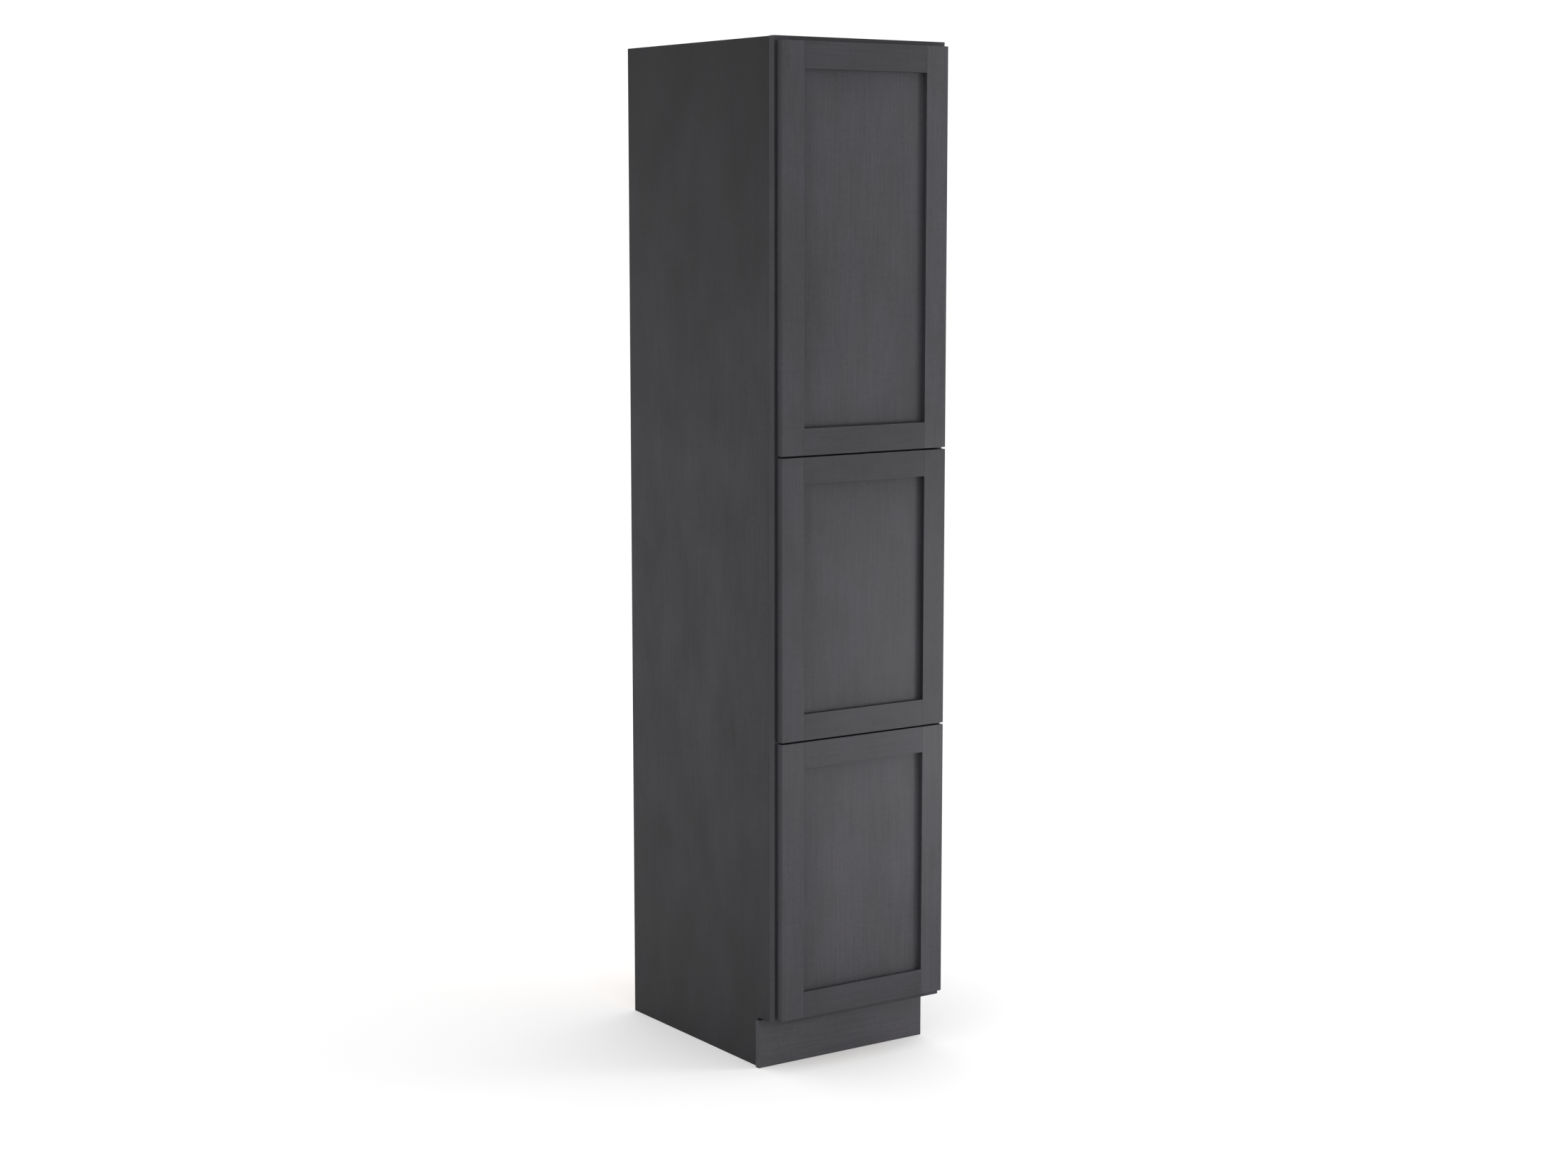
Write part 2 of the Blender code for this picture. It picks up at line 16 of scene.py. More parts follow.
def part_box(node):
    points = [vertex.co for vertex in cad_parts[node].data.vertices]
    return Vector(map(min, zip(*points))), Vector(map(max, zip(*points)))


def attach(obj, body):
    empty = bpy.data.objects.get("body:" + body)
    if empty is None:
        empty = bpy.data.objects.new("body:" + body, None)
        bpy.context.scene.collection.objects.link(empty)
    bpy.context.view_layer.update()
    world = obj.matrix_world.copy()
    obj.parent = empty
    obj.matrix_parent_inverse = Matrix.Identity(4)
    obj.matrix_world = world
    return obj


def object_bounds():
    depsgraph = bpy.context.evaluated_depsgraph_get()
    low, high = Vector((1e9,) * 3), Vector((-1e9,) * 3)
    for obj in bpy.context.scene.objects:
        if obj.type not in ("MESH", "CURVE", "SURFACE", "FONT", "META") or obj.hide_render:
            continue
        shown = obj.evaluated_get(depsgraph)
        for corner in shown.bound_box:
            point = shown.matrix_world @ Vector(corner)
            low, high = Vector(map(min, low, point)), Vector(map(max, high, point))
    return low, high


SEED = 7
X, Y, Z = range(3)
DOORS = ("upper_door", "middle_door", "lower_door")

# Camera
CAMERA_PLACE = (-3.5548, -5.1875, 1.92)
CAMERA_AZIMUTH = math.radians(-34.41)
CAMERA_PITCH = math.radians(7.88)
CAMERA_LENS = 62.87
SENSOR_WIDTH = 36.0

# Floor and sky. The sky goes from one strength to the other between two heights above the
# horizon, each the sine of an angle.
FLOOR_HALF_SIZE = 60.0
FLOOR_DROP = 0.0002
FLOOR_LIGHT = (0.898, 0.898, 0.902)
FLOOR_DARK = (0.888, 0.888, 0.892)
FLOOR_GLOW = 0.165
FLOOR_ROUGHNESS = 0.9
HORIZON_STRENGTH = 1.06
ZENITH_STRENGTH = 1.0
SKY_DIM_START = 0.12
SKY_DIM_END = 0.80

# Every light stands over one point and aims level at another. Each has its height, the width
# and height of its face, its power in watts and its spread.
LIGHT_STAND = (2.8, -1.85)
LIGHT_AIM = (0.0, -0.3)
LIGHTS = {
    "key_light": (0.50, (1.5, 0.9), 62.0, math.radians(180)),
    "accent_light": (0.75, (0.5, 0.5), 1.4, math.radians(32)),
    "top_light": (2.25, (0.5, 0.5), 1.1, math.radians(32)),
}

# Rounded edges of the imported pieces
WOOD_ROUNDING = 0.0003
DOOR_EDGE_ROUNDING = 0.0008
DOOR_JOINT_SHARE = 0.06
STEEL_ROUNDING = 0.00025
RUBBER_ROUNDING = 0.0003
ROUNDING_SEGMENTS = 2
WELD_DISTANCE = 0.00001
SHARP_ANGLE = math.radians(40)

# Linear colours
CHARCOAL_WARM = (0.0368, 0.0352, 0.0408)
CHARCOAL_COOL = (0.0340, 0.0340, 0.0374)
MAPLE = (0.58, 0.41, 0.245)
MAPLE_DARK = (0.46, 0.30, 0.165)
PLY_CORE = (0.33, 0.21, 0.115)
NICKEL = (0.60, 0.59, 0.565)
NICKEL_STAINED = (0.47, 0.455, 0.43)
ZINC_YELLOW = (0.62, 0.53, 0.33)
RUBBER = (0.74, 0.74, 0.71)
RUBBER_CLOUDY = (0.60, 0.60, 0.57)

# Noise patterns: the scale across and along the grain, and the noise that counts as 0 and as 1
PATTERNS = {
    "stain_cloud": {"across": 8, "along": 4.5, "detail": 2.0, "low": 0.3, "high": 0.7},
    "stain_patch": {"across": 13, "along": 7, "detail": 1.5, "low": 0.4, "high": 0.6},
    "stain_streak": {
        "across": 190, "along": 8, "detail": 3.0, "distortion": 0.3, "low": 0.3, "high": 0.7,
    },
    "stain_ripple": {
        "across": 28, "along": 150, "detail": 2.0, "distortion": 0.5, "low": 0.3, "high": 0.7,
    },
    "stain_fibre": {"across": 700, "along": 110, "detail": 2.0, "low": 0.3, "high": 0.7},
    "maple_cloud": {"across": 6, "along": 2, "detail": 2.0, "low": 0.3, "high": 0.7},
    "maple_figure": {
        "across": 40, "along": 1.6, "detail": 4.0, "distortion": 0.6, "low": 0.35, "high": 0.68,
    },
    "maple_fibre": {"across": 900, "along": 18, "detail": 2.0, "low": 0.4, "high": 0.7},
    "plating_cloud": {"across": 70, "along": 70, "detail": 4.0, "low": 0.35, "high": 0.7},
    "plating_scratch": {"across": 300, "along": 3500, "detail": 2.0, "low": 0.3, "high": 0.7},
    "rubber_cloud": {"across": 500, "along": 500, "detail": 3.0, "low": 0.3, "high": 0.7},
    "floor_cloud": {"across": 3, "along": 3, "detail": 2.0, "low": 0.0, "high": 1.0},
}
# How far the noise's starting point is moved at random, along each axis
NOISE_REACH = 20

# Roughness where a finish's pattern is 0, and what is added where it is 1
STAIN_ROUGHNESS = (0.45, 0.05)
MAPLE_ROUGHNESS = (0.34, 0.10)
RUBBER_ROUGHNESS = (0.30, 0.18)
PLATING_ROUGHNESS = (0.20, 0.12)
SCRATCH_ROUGHNESS = 0.08

# How high each finish's finest pattern stands
STAIN_RELIEF = 0.00003
SIDE_RELIEF = 0.00004
MAPLE_RELIEF = 0.00005
PLATING_RELIEF = 0.00001
RUBBER_RELIEF = 0.00004

# The tone of each stained board: partly the boards' own differing tones and partly painted light
# and shade, the doors being lighter or darker copies of one stain where more or less light falls,
# and the toe board lifted out of its shade. The boards that aren't named have the plain one.
BOARD_TONES_AND_PAINTED_LIGHT = {
    "upper_door_panel": 1.05,
    "upper_door_stile_left": 0.95,
    "upper_door_stile_right": 1.11,
    "upper_door_rail_top": 0.81,
    "upper_door_rail_bottom": 0.78,
    "middle_door_panel": 0.91,
    "middle_door_stile_left": 0.89,
    "middle_door_stile_right": 0.82,
    "middle_door_rail_top": 0.74,
    "middle_door_rail_bottom": 0.83,
    "lower_door_panel": 1.17,
    "lower_door_stile_left": 1.05,
    "lower_door_stile_right": 1.16,
    "lower_door_rail_top": 0.89,
    "lower_door_rail_bottom": 0.92,
    "face_frame_stile_left": 0.90,
    "face_frame_stile_right": 0.90,
    "toe_kick_board": 1.35,
}
PLAIN_TONE = 0.78
SIDE_TONE = 0.82
CHARCOAL_SPECULAR = 0.14
# How far each pattern in the stain moves the tone, on the face and on the wide sides
FACE_GRAIN = {"cloud": 0.14, "streak": 0.17, "ripple": 0.07, "fibre": 0.20}
SIDE_GRAIN = {"cloud": 0.32, "streak": 0.28, "ripple": 0.08, "fibre": 0.22}
# Rounded edges are lighter, partly as wear and partly as a painted highlight along them. An edge
# starts where the largest part of its direction falls to the first value, and is full at the second.
EDGE_WEAR_AND_HIGHLIGHT = 0.35
EDGE_SPAN = (0.995, 0.93)
# Painted shade on a door's panel along the free stile and both rails, where the recess shades it:
# the share darker at the edge, how far in that fades, and how fast
PANEL_SHADE = 0.22
PANEL_SHADE_WIDTH = 0.10
PANEL_SHADE_POWER = 2.0
# Painted light and shade on a side: its stain is made lightest at this height, as a painted pool
# of light, keeps that over the first distance from it, and at the second distance has lost this
# share, as painted shade towards its top and foot
SIDE_LIGHTEST = 1.05
SIDE_SHADE_SPAN = (0.30, 1.20)
SIDE_SHADE = 0.56
# How far a face has to point along an axis to count as facing that way. Stain also covers the
# rounded edges around it.
VENEER_FACING = 0.5
STAIN_FACING = 0.3

# Maple: the figure's share of the mix of two colours, and the fibre's tone as with roughness
MAPLE_FIGURE_SHARE = 0.6
MAPLE_FIBRE_TONE = (0.95, 0.10)
# Plywood: the layers, how far into one the faces lie, and how strongly the cut edge shows them
PLIES = 7
PLY_MARGIN = 0.1
RAW_EDGE_STRENGTH = 0.85

# Screws: (radius, height) of the head, and a domed head's outline as shares of the two
ROUND_SIDES = 28
BRACKET_SCREW = (0.0034, 0.0020)
CUP_SCREW = (0.0036, 0.0007)
ADJUSTING_SCREW = (0.0029, 0.0007)
DOME = ((0, 0), (0.97, 0), (1.0, 0.12), (0.97, 0.40), (0.82, 0.74), (0.55, 0.93), (0.28, 1.0), (0, 1.0))
CROSS_WIDTH = 0.0009
CROSS_REACH_SHARE = 0.58
CROSS_FLOOR_SHARE = 0.35
# Their places: above and below a hinge's middle, and in from the arm's back end
BRACKET_SCREW_HEIGHT = 0.0147
CUP_SCREW_HEIGHT = 0.0217
ADJUSTING_SCREWS_FROM_END = (0.0060, 0.0150)
BRACKET_THICKNESS = 0.0020
ARM_WIDTH = 0.0125
CUP_RADIUS = 0.0175
CUP_RIM = 0.0003
SEAT_GAP = 0.00005

# Shelf pins: peg, collar (the distances of its two faces from the side panel) and rest
PIN_RADIUS = 0.0022
PIN_DEPTH = 0.0078
PIN_TIP_SHARE = 0.75
PIN_TAPER_SHARE = 0.92
PIN_COLLAR_RADIUS = 0.0034
PIN_COLLAR = (0.0001, 0.0012)
PIN_COLLAR_EDGE_SHARE = 0.94
PIN_COLLAR_SOFT_SHARE = 0.2
PIN_REST_TOP = 0.00265
PIN_REST_THICKNESS = 0.0013
PIN_REST_END = 0.0100
PIN_REST_HALF_WIDTH = 0.0036
PIN_REST_STEPS = 8
PIN_RIB_END = 0.0085
PIN_RIB_HALF_WIDTH = 0.0006
PIN_UNDER_SHELF = 0.0028
PIN_ROW_FROM_EDGE = 0.037
PINNED_SHELVES = ("lower_shelf_1", "middle_shelf_1", "upper_shelf_1", "upper_shelf_2")

# Staples, with an end's outline as shares of (radius, half length)
STAPLE_LENGTH = 0.0105
STAPLE_RADIUS = 0.0006
STAPLE_END = ((0, 1), (0.45, 1), (0.9, 0.94), (1, 0.86))
STAPLE_FLATNESS = 0.55
STAPLES_ACROSS = 5
STAPLE_WANDER = 0.002
STAPLE_TILT = 0.2


# Node graphs


class Graph:
    """A material's node tree, with short calls for the nodes that the finishes here use."""

    def __init__(self, name):
        self.material = bpy.data.materials.new(name)
        self.material.use_nodes = True
        self.tree = self.material.node_tree
        self.shader = self.tree.nodes["Principled BSDF"]
        self.place = self.node("ShaderNodeTexCoord")

    def node(self, kind, **settings):
        made = self.tree.nodes.new(kind)
        for key, value in settings.items():
            setattr(made, key, value)
        return made

    def feed(self, socket, value):
        """Sets a socket to a number or a colour, or links it to another node's output."""
        if isinstance(value, (int, float)):
            socket.default_value = value
        elif isinstance(value, tuple):
            socket.default_value = (*value, 1) if len(socket.default_value) == 4 else value
        else:
            self.tree.links.new(value, socket)

    def noise(self, scale, detail, distortion):
        """Noise in the piece's own space, so that it moves with the piece. Scale has three parts."""
        mapping = self.node("ShaderNodeMapping")
        start = tuple(rng.uniform(-NOISE_REACH, NOISE_REACH) for _ in (X, Y, Z))
        self.feed(mapping.inputs["Vector"], self.place.outputs["Object"])
        self.feed(mapping.inputs["Scale"], scale)
        self.feed(mapping.inputs["Location"], start)
        made = self.node("ShaderNodeTexNoise")
        self.feed(made.inputs["Vector"], mapping.outputs["Vector"])
        self.feed(made.inputs["Scale"], 1.0)
        self.feed(made.inputs["Detail"], detail)
        self.feed(made.inputs["Distortion"], distortion)
        return made.outputs["Fac"]

    def pattern(self, name, axis=Z):
        """One of the noise patterns, from 0 to 1, with its grain along the axis."""
        facts = PATTERNS[name]
        scale = tuple(facts["along"] if number == axis else facts["across"] for number in (X, Y, Z))
        noise = self.noise(scale, facts["detail"], facts.get("distortion", 0.0))
        return self.fit(noise, facts["low"], facts["high"])

    def fit(self, value, low, high, new_low=0.0, new_high=1.0):
        """The value moved from one range to another, and held inside it."""
        made = self.node("ShaderNodeMapRange", clamp=True)
        for socket, number in zip(made.inputs, (value, low, high, new_low, new_high)):
            self.feed(socket, number)
        return made.outputs["Result"]

    def math(self, operation, *values):
        made = self.node("ShaderNodeMath", operation=operation)
        for socket, value in zip(made.inputs, values):
            self.feed(socket, value)
        return made.outputs["Value"]

    def plus(self, value, amount, pattern):
        """The value, and the amount more where the pattern is 1."""
        return self.math("MULTIPLY_ADD", pattern, amount, value)

    def mix(self, factor, first, second):
        """A mix of two colours. The node has one set of sockets for each kind of value that it mixes."""
        made = self.node("ShaderNodeMix", data_type="RGBA")
        for number, value in ((0, factor), (6, first), (7, second)):
            self.feed(made.inputs[number], value)
        return made.outputs[2]

    def scaled(self, colour, level):
        made = self.node("ShaderNodeVectorMath", operation="SCALE")
        self.feed(made.inputs[0], colour)
        self.feed(made.inputs["Scale"], level)
        return made.outputs[0]

    def part(self, output, axis):
        """One axis of the piece's own space ("Object") or of the surface's direction in it ("Normal")."""
        split = self.node("ShaderNodeSeparateXYZ")
        self.feed(split.inputs[0], self.place.outputs[output])
        return split.outputs[axis]

    def edge(self):
        """1 on a rounded edge, and 0 on the flat faces, which all lie square in the piece's space."""
        largest = 0.0
        for axis in (X, Y, Z):
            largest = self.math("MAXIMUM", largest, self.math("ABSOLUTE", self.part("Normal", axis)))
        return self.fit(largest, *EDGE_SPAN)

    def bump(self, height, distance):
        made = self.node("ShaderNodeBump")
        self.feed(made.inputs["Strength"], 1.0)
        self.feed(made.inputs["Distance"], distance)
        self.feed(made.inputs["Height"], height)
        self.feed(self.shader.inputs["Normal"], made.outputs["Normal"])

    def finish(self, colour, roughness, **others):
        """The finished material. The others are more of the shader's sockets, by their names."""
        self.feed(self.shader.inputs["Base Color"], colour)
        self.feed(self.shader.inputs["Roughness"], roughness)
        for name, value in others.items():
            label = name.replace("_", " ").title().replace("Ior", "IOR")
            self.feed(self.shader.inputs[label], value)
        return self.material


# Finishes


def charcoal(graph, axis, tone, grain):
    """(colour, roughness, height) of charcoal stain under a satin coat, with the grain along the axis."""
    names = ("cloud", "patch", "streak", "ripple", "fibre")
    patterns = {name: graph.pattern(f"stain_{name}", axis) for name in names}
    level = tone * (1 - sum(grain.values()) / 2)
    for name, amount in grain.items():
        level = graph.plus(level, amount * tone, patterns[name])
    # Rounded edges made lighter: partly wear, partly a painted highlight
    level = graph.plus(level, EDGE_WEAR_AND_HIGHLIGHT, graph.edge())
    colour = graph.scaled(graph.mix(patterns["patch"], CHARCOAL_COOL, CHARCOAL_WARM), level)
    return colour, graph.plus(*STAIN_ROUGHNESS, patterns["streak"]), patterns["fibre"]


def maple(graph, axis):
    """(colour, roughness, height) of clear-coated maple veneer with its grain along the axis."""
    cloud, figure, fibre = (graph.pattern(f"maple_{name}", axis) for name in ("cloud", "figure", "fibre"))
    clouded = graph.math("MULTIPLY", cloud, 1 - MAPLE_FIGURE_SHARE)
    colour = graph.mix(graph.plus(clouded, MAPLE_FIGURE_SHARE, figure), MAPLE, MAPLE_DARK)
    colour = graph.scaled(colour, graph.plus(*MAPLE_FIBRE_TONE, fibre))
    return colour, graph.plus(*MAPLE_ROUGHNESS, figure), fibre


def plies(graph, axis, low, high):
    """1 in every second layer of a sheet of plywood whose faces are square to the axis."""
    depth = graph.math("SUBTRACT", graph.part("Object", axis), low)
    layers = graph.plus(PLY_MARGIN, (PLIES - 2 * PLY_MARGIN) / (high - low), depth)
    return graph.math("MODULO", graph.math("FLOOR", layers), 2.0)


def grain_axis(node):
    """Boards have their grain along their longest side."""
    low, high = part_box(node)
    return max((X, Y, Z), key=lambda axis: high[axis] - low[axis])


def painted_panel_shade(graph, door):
    """Painted shade: 1 over most of a door's panel, and less towards its free stile and its rails."""
    across, up = graph.part("Object", X), graph.part("Object", Z)
    nearest = graph.math("SUBTRACT", across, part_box(f"{door}_stile_left")[1].x)
    for low, high in (
        (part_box(f"{door}_rail_bottom")[1].z, up),
        (up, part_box(f"{door}_rail_top")[0].z),
    ):
        nearest = graph.math("MINIMUM", nearest, graph.math("SUBTRACT", high, low))
    near = graph.fit(nearest, 0.0, PANEL_SHADE_WIDTH, 1.0, 0.0)
    return graph.plus(1.0, -PANEL_SHADE, graph.math("POWER", near, PANEL_SHADE_POWER))


def charcoal_finish(node):
    """Stained solid wood."""
    graph = Graph(f"{node}_finish")
    # The board's tone, with its painted light and shade as well as its own tone
    tone = BOARD_TONES_AND_PAINTED_LIGHT.get(node, PLAIN_TONE)
    colour, rough, height = charcoal(graph, grain_axis(node), tone, FACE_GRAIN)
    # Painted shade along the panel's free stile and rails
    if node.endswith("door_panel"):
        colour = graph.scaled(colour, painted_panel_shade(graph, node[: -len("_panel")]))
    graph.bump(height, STAIN_RELIEF)
    return graph.finish(colour, rough, specular_ior_level=CHARCOAL_SPECULAR)


def plywood_finish(node):
    """Maple plywood: veneer on its faces and its banded front edge, and layers on its other edges."""
    graph = Graph(f"{node}_finish")
    low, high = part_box(node)
    thickness = min((X, Y, Z), key=lambda axis: high[axis] - low[axis])
    colour, rough, height = maple(graph, grain_axis(node))
    layer = plies(graph, thickness, low[thickness], high[thickness])
    unbanded = graph.math("GREATER_THAN", graph.part("Normal", Y), -VENEER_FACING)
    raw = graph.math("MULTIPLY", layer, graph.math("MULTIPLY", unbanded, RAW_EDGE_STRENGTH))
    colour = graph.mix(raw, colour, PLY_CORE)
    graph.bump(height, MAPLE_RELIEF)
    return graph.finish(colour, rough)


def side_finish(node, inward):
    """Plywood that is stained outside and on its front edges, clear-coated inside, and raw behind.

    The inward sign is that of the X direction into the cabinet.
    """
    graph = Graph(f"{node}_finish")
    low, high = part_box(node)
    colour, rough, height = maple(graph, Z)
    facing_in = graph.math("MULTIPLY", graph.part("Normal", X), inward)
    edgewise = graph.math("LESS_THAN", facing_in, VENEER_FACING)
    raw = graph.math("MULTIPLY", plies(graph, X, low.x, high.x), edgewise)
    colour = graph.mix(raw, colour, PLY_CORE)
    stain, stain_rough, stain_height = charcoal(graph, Z, SIDE_TONE, SIDE_GRAIN)
    # Painted light and shade: the stain lightest at one height and darker towards the top and the foot
    away = graph.math("ABSOLUTE", graph.math("SUBTRACT", graph.part("Object", Z), SIDE_LIGHTEST))
    stain = graph.scaled(stain, graph.fit(away, *SIDE_SHADE_SPAN, 1.0, 1.0 - SIDE_SHADE))
    is_stained = graph.math("LESS_THAN", facing_in, -STAIN_FACING)
    for axis in (Y, Z):
        ahead_or_under = graph.math("LESS_THAN", graph.part("Normal", axis), -STAIN_FACING)
        is_stained = graph.math("MAXIMUM", is_stained, ahead_or_under)
    colour = graph.mix(is_stained, colour, stain)
    rough = graph.mix(is_stained, rough, stain_rough)
    graph.bump(graph.mix(is_stained, height, stain_height), SIDE_RELIEF)
    return graph.finish(colour, rough, specular_ior_level=CHARCOAL_SPECULAR)


def plated_finish(name, light, dark):
    """Plated pressed steel with faint cloudy stains and fine scratches."""
    graph = Graph(name)
    cloud, scratch = graph.pattern("plating_cloud"), graph.pattern("plating_scratch")
    rough = graph.plus(graph.plus(*PLATING_ROUGHNESS, cloud), SCRATCH_ROUGHNESS, scratch)
    graph.bump(scratch, PLATING_RELIEF)
    return graph.finish(graph.mix(cloud, light, dark), rough, metallic=1.0)


def rubber_finish(name):
    """Soft clear bumper rubber, a little cloudy."""
    graph = Graph(name)
    cloud = graph.pattern("rubber_cloud")
    graph.bump(cloud, RUBBER_RELIEF)
    rough = graph.plus(*RUBBER_ROUGHNESS, cloud)
    return graph.finish(graph.mix(cloud, RUBBER, RUBBER_CLOUDY), rough, transmission_weight=0.3)


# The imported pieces


def join_points(obj):
    """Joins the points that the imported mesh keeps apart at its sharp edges, so they can be rounded."""
    weld = obj.modifiers.new("joined_points", "WELD")
    weld.merge_threshold = WELD_DISTANCE


def round_edges(obj, width, limit):
    """Rounds the sharp edges ("ANGLE"), or each edge as far as it is marked ("WEIGHT")."""
    bevel = obj.modifiers.new("rounded_edges", "BEVEL")
    bevel.width = width
    bevel.segments = ROUNDING_SEGMENTS
    bevel.harden_normals = True
    bevel.limit_method = limit
    bevel.angle_limit = SHARP_ANGLE


def weigh_edges(obj, door):
    """Marks how much each straight edge of a stile or a rail is rounded: most on the door's outline."""
    low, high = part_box(f"{door}_stile_left")[0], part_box(f"{door}_stile_right")[1]
    points = obj.data.vertices
    weights = obj.data.attributes.new("bevel_weight_edge", "FLOAT", "EDGE")
    for edge in obj.data.edges:
        ends = [points[index].co for index in edge.vertices]
        runs_along = [axis for axis in (X, Y, Z) if abs(ends[0][axis] - ends[1][axis]) > WELD_DISTANCE]
        if len(runs_along) != 1:
            continue
        on_outline = sum(
            all(abs(end[axis] - limit[axis]) < WELD_DISTANCE for end in ends)
            for axis in (X, Z)
            for limit in (low, high)
        )
        outer = on_outline >= (2 if runs_along == [Y] else 1)
        weights.data[edge.index].value = 1.0 if outer else DOOR_JOINT_SHARE


def wear(obj, finish, rounding, limit="ANGLE"):
    """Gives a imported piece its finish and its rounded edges."""
    for slot in obj.material_slots:
        slot.material = finish
    join_points(obj)
    round_edges(obj, rounding, limit)


def dress_packed_pieces(nodes, steel, rubber):
    for name in sorted(nodes):
        obj = nodes[name]
        if "_hinge_" in name:
            wear(obj, steel, STEEL_ROUNDING)
        elif "_bumper_" in name:
            wear(obj, rubber, RUBBER_ROUNDING)
        elif name.startswith("side_panel"):
            wear(obj, side_finish(name, 1 if name.endswith("left") else -1), WOOD_ROUNDING)
        elif "_door_stile" in name or "_door_rail" in name:
            weigh_edges(obj, name[: name.index("_door_")] + "_door")
            wear(obj, charcoal_finish(name), DOOR_EDGE_ROUNDING, "WEIGHT")
        elif name.endswith("door_panel") or name.startswith(("face_frame", "toe_kick")):
            wear(obj, charcoal_finish(name), WOOD_ROUNDING)
        else:
            wear(obj, plywood_finish(name), WOOD_ROUNDING)


# Hardware


def mesh_of(bm, name):
    bmesh.ops.recalc_face_normals(bm, faces=bm.faces)
    mesh = bpy.data.meshes.new(name)
    bm.to_mesh(mesh)
    bm.free()
    mesh.shade_smooth()
    mesh.set_sharp_from_angle(angle=SHARP_ANGLE)
    return mesh


def turned(bm, profile, matrix=None):
    """Adds a closed solid turned about Z from (radius, height) points, the first and last on the axis."""
    rings = []
    for radius, height in profile[1:-1]:
        turns = [2 * math.pi * step / ROUND_SIDES for step in range(ROUND_SIDES)]
        rings.append([bm.verts.new((radius * math.cos(a), radius * math.sin(a), height)) for a in turns])
    for lower, upper in zip(rings, rings[1:]):
        for step in range(ROUND_SIDES):
            after = (step + 1) % ROUND_SIDES
            bm.faces.new((lower[step], lower[after], upper[after], upper[step]))
    tips = [bm.verts.new((0, 0, profile[end][1])) for end in (0, -1)]
    for tip, ring in zip(tips, (rings[0], rings[-1])):
        for step in range(ROUND_SIDES):
            bm.faces.new((tip, ring[step], ring[(step + 1) % ROUND_SIDES]))
    if matrix:
        verts = tips + [vert for ring in rings for vert in ring]
        bmesh.ops.transform(bm, matrix=matrix, verts=verts)


def prism(bm, outline, shift):
    """Adds a closed solid: a flat outline, and the same outline moved by the shift."""
    near = [bm.verts.new(point) for point in outline]
    far = [bm.verts.new(Vector(point) + Vector(shift)) for point in outline]
    bm.faces.new(near)
    bm.faces.new(far)
    for step in range(len(outline)):
        after = (step + 1) % len(outline)
        bm.faces.new((near[step], near[after], far[after], far[step]))


def cut(mesh, low, high):
    """The mesh with a box taken out of it."""
    bm = bmesh.new()
    low, high = Vector(low), Vector(high)
    bmesh.ops.create_cube(bm, size=1, matrix=Matrix.LocRotScale((low + high) / 2, None, high - low))
    base = bpy.data.objects.new("base", mesh)
    cutter = bpy.data.objects.new("cutter", mesh_of(bm, "cutter"))
    for obj in (base, cutter):
        bpy.context.scene.collection.objects.link(obj)
    boolean = base.modifiers.new("cut", "BOOLEAN")
    boolean.operation, boolean.solver, boolean.object = "DIFFERENCE", "EXACT", cutter
    bpy.context.view_layer.update()
    result = bpy.data.meshes.new_from_object(base.evaluated_get(bpy.context.evaluated_depsgraph_get()))
    for obj in (base, cutter):
        bpy.data.objects.remove(obj)
    return result


def screw_head(name, radius, height):
    """A domed head with a cross recess. It stands on z = 0 and faces +Z."""
    bm = bmesh.new()
    turned(bm, [(radius * out, height * up) for out, up in DOME])
    mesh = mesh_of(bm, name)
    half, reach = CROSS_WIDTH / 2, radius * CROSS_REACH_SHARE
    floor, above = height * CROSS_FLOOR_SHARE, height * 2
    mesh = cut(mesh, (-reach, -half, floor), (reach, half, above))
    mesh = cut(mesh, (-half, -reach, floor), (half, reach, above))
    mesh.set_sharp_from_angle(angle=SHARP_ANGLE)
    return mesh


def add_pin_peg(bm):
    """Adds a shelf pin's peg and soft-edged collar, turned about X. Returns the x where its rest starts."""
    to_x = Matrix.Rotation(math.radians(90), 4, "Y")
    near, far = PIN_COLLAR
    tip, taper = -PIN_DEPTH, -PIN_TAPER_SHARE * PIN_DEPTH
    peg = ((0, tip), (PIN_TIP_SHARE, tip), (1, taper), (1, far), (0, far))
    turned(bm, [(PIN_RADIUS * out, at) for out, at in peg], to_x)
    soft = (far - near) * PIN_COLLAR_SOFT_SHARE
    edge = PIN_COLLAR_EDGE_SHARE
    collar = ((0, near), (edge, near), (1, near + soft), (1, far - soft), (edge, far), (0, far))
    turned(bm, [(PIN_COLLAR_RADIUS * out, at) for out, at in collar], to_x)
    return far - soft


def shelf_pin():
    """A peg with a collar and a ribbed rest. The side panel's face is x = 0 and the bay is at +X."""
    bm = bmesh.new()
    start = add_pin_peg(bm)
    floor, half = PIN_REST_TOP - PIN_REST_THICKNESS, PIN_REST_HALF_WIDTH
    rest = [(start, -half, floor), (start, half, floor)]
    for step in range(PIN_REST_STEPS + 1):
        angle = math.radians(90 - 180 * step / PIN_REST_STEPS)
        rest.append((PIN_REST_END - half * (1 - math.cos(angle)), half * math.sin(angle), floor))
    prism(bm, rest, (0, 0, PIN_REST_THICKNESS))
    corners = ((start, floor), (PIN_RIB_END, floor), (start, -PIN_RADIUS))
    prism(bm, [(x, -PIN_RIB_HALF_WIDTH, z) for x, z in corners], (0, 2 * PIN_RIB_HALF_WIDTH, 0))
    return mesh_of(bm, "shelf_pin")


